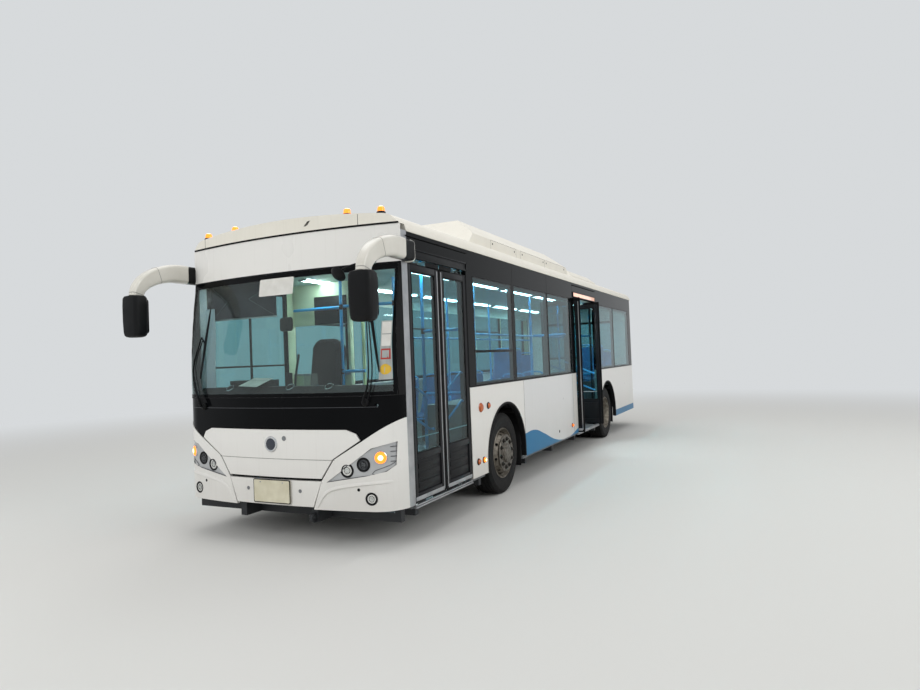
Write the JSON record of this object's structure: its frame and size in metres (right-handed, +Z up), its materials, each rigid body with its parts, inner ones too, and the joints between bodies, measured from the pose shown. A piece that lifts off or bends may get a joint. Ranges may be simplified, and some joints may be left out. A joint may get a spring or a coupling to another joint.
{
  "type": "airport passenger bus",
  "caption": "Low-floor airport passenger bus with double doors on one side, a roof gas pod, steered front wheels, rear twin wheels, a hinged front flap and an engine lid.",
  "frame": {"origin": "centre of the bounding box's footprint, on the ground under the tyres", "axes": "+Z up, -Y the way the bus drives, +X the door side"},
  "size_m": [2.82, 10.92, 3.34],
  "materials": {
    "body_white": "gloss",
    "roof_white": "gloss",
    "band_black": "gloss",
    "trim_black": "satin",
    "silver": "satin",
    "glass": "gloss",
    "lamp_clear": "gloss",
    "lamp_amber": "gloss",
    "lamp_red": "gloss",
    "plate": "satin",
    "frame_dark": "matte",
    "iron": "matte",
    "wheel": "matte",
    "floor": "matte",
    "lining": "satin",
    "dash": "satin",
    "seat_dark": "matte",
    "seat_blue": "satin",
    "rail_blue": "gloss"
  },
  "bodies": {
    "body": {"roof_shell": "roof_white", "roof_pod": "roof_white", "rear_roof_unit": "roof_white", "window_band_near": "band_black", "window_band_off": "band_black", "skirt_near": "body_white", "skirt_off": "body_white", "corner_posts": "silver", "front_bumper": "body_white", "front_band": "band_black", "screen_frame": "band_black", "destination_panel": "body_white", "windscreen": "glass", "front_plate": "plate", "front_lamps": "lamp_clear", "marker_lamps": "lamp_amber", "side_lamps": "lamp_amber", "mirror_arms": "body_white", "mirror_heads": "trim_black", "wipers": "trim_black", "side_glass": "glass", "rear_panel": "body_white", "rear_window": "glass", "rear_lamps": "lamp_red", "floor": "floor", "rear_floor": "floor", "engine_deck": "floor", "wheel_boxes": "floor", "driver_platform": "floor", "chassis": "frame_dark", "cross_members": "frame_dark", "engine": "iron", "front_axle": "iron", "rear_axle": "iron", "dashboard": "dash", "steering_wheel": "trim_black", "driver_seat": "seat_dark", "partition": "lining", "passenger_seats": "seat_blue", "handrails": "rail_blue", "ceiling": "lining", "sun_blind": "seat_dark"},
    "front_flap": {"front_flap": "body_white"},
    "engine_lid": {"engine_lid": "body_white"},
    "knuckle_left": {"knuckle_left": "iron"},
    "knuckle_right": {"knuckle_right": "iron"},
    "tie_rod": {"tie_rod": "iron"},
    "front_wheel_left": {"front_wheel_left": "wheel"},
    "front_wheel_right": {"front_wheel_right": "wheel"},
    "rear_wheel_left": {"rear_wheel_left": "wheel"},
    "rear_wheel_right": {"rear_wheel_right": "wheel"},
    "front_door_arm_a": {"front_door_arm_a": "frame_dark"},
    "front_door_arm_b": {"front_door_arm_b": "frame_dark"},
    "front_door_leaf_a": {"front_door_leaf_a": "trim_black"},
    "front_door_leaf_b": {"front_door_leaf_b": "trim_black"},
    "mid_door_arm_a": {"mid_door_arm_a": "frame_dark"},
    "mid_door_arm_b": {"mid_door_arm_b": "frame_dark"},
    "mid_door_leaf_a": {"mid_door_leaf_a": "trim_black"},
    "mid_door_leaf_b": {"mid_door_leaf_b": "trim_black"}
  },
  "joints": [
    {"name": "front_flap_hinge", "type": "hinge", "parent": "body", "child": "front_flap", "pos_m": [0, -5.006, 1.026], "axis": [-1, 0, 0], "range_deg": [0, 75]},
    {"name": "engine_lid_hinge", "type": "hinge", "parent": "body", "child": "engine_lid", "pos_m": [0, 5.436, 1.306], "axis": [1, 0, 0], "range_deg": [0, 80]},
    {"name": "steer_left", "type": "hinge", "parent": "body", "child": "knuckle_left", "pos_m": [0.875, -2.36, 0.478], "axis": [0, 0, 1], "range_deg": [-40, 40]},
    {"name": "steer_right", "type": "hinge", "parent": "body", "child": "knuckle_right", "pos_m": [-0.875, -2.36, 0.478], "axis": [0, 0, 1], "range_deg": [-40, 40]},
    {"name": "tie_rod_pin", "type": "hinge", "parent": "knuckle_left", "child": "tie_rod", "pos_m": [0.875, -2.14, 0.188], "axis": [0, 0, 1], "range_deg": [-40, 40]},
    {"name": "front_wheel_left_spin", "type": "hinge", "parent": "knuckle_left", "child": "front_wheel_left", "pos_m": [1, -2.36, 0.478], "axis": [1, 0, 0], "continuous": true},
    {"name": "front_wheel_right_spin", "type": "hinge", "parent": "knuckle_right", "child": "front_wheel_right", "pos_m": [-1, -2.36, 0.478], "axis": [1, 0, 0], "continuous": true},
    {"name": "rear_wheel_left_spin", "type": "hinge", "parent": "body", "child": "rear_wheel_left", "pos_m": [0.9, 2.89, 0.478], "axis": [1, 0, 0], "continuous": true},
    {"name": "rear_wheel_right_spin", "type": "hinge", "parent": "body", "child": "rear_wheel_right", "pos_m": [-0.9, 2.89, 0.478], "axis": [1, 0, 0], "continuous": true},
    {"name": "front_door_arm_a_turn", "type": "hinge", "parent": "body", "child": "front_door_arm_a", "pos_m": [1.15, -4.6185, 0.4], "axis": [0, 0, 1], "range_deg": [0, 90]},
    {"name": "front_door_leaf_a_turn", "type": "hinge", "parent": "front_door_arm_a", "child": "front_door_leaf_a", "pos_m": [1.225, -4.40725, 0.4], "axis": [0, 0, 1], "range_deg": [-180, 0]},
    {"name": "front_door_arm_b_turn", "type": "hinge", "parent": "body", "child": "front_door_arm_b", "pos_m": [1.15, -3.3595, 0.4], "axis": [0, 0, -1], "range_deg": [0, 90]},
    {"name": "front_door_leaf_b_turn", "type": "hinge", "parent": "front_door_arm_b", "child": "front_door_leaf_b", "pos_m": [1.225, -3.57075, 0.4], "axis": [0, 0, -1], "range_deg": [-180, 0]},
    {"name": "mid_door_arm_a_turn", "type": "hinge", "parent": "body", "child": "mid_door_arm_a", "pos_m": [1.15, 0.7135, 0.4], "axis": [0, 0, 1], "range_deg": [-90, 0]},
    {"name": "mid_door_leaf_a_turn", "type": "hinge", "parent": "mid_door_arm_a", "child": "mid_door_leaf_a", "pos_m": [0.90275, 0.7885, 0.4], "axis": [0, 0, 1], "range_deg": [0, 180]},
    {"name": "mid_door_arm_b_turn", "type": "hinge", "parent": "body", "child": "mid_door_arm_b", "pos_m": [1.15, 2.1165, 0.4], "axis": [0, 0, -1], "range_deg": [-90, 0]},
    {"name": "mid_door_leaf_b_turn", "type": "hinge", "parent": "mid_door_arm_b", "child": "mid_door_leaf_b", "pos_m": [0.90275, 2.0415, 0.4], "axis": [0, 0, -1], "range_deg": [0, 180]}
  ],
  "couplings": [
    {"joint": "steer_right", "follows": "steer_left", "ratio": 1},
    {"joint": "tie_rod_pin", "follows": "steer_left", "ratio": -1},
    {"joint": "front_door_arm_b_turn", "follows": "front_door_arm_a_turn", "ratio": 1},
    {"joint": "front_door_leaf_a_turn", "follows": "front_door_arm_a_turn", "ratio": -2},
    {"joint": "front_door_leaf_b_turn", "follows": "front_door_arm_a_turn", "ratio": -2},
    {"joint": "mid_door_arm_b_turn", "follows": "mid_door_arm_a_turn", "ratio": 1},
    {"joint": "mid_door_leaf_a_turn", "follows": "mid_door_arm_a_turn", "ratio": -2},
    {"joint": "mid_door_leaf_b_turn", "follows": "mid_door_arm_a_turn", "ratio": -2}
  ]
}
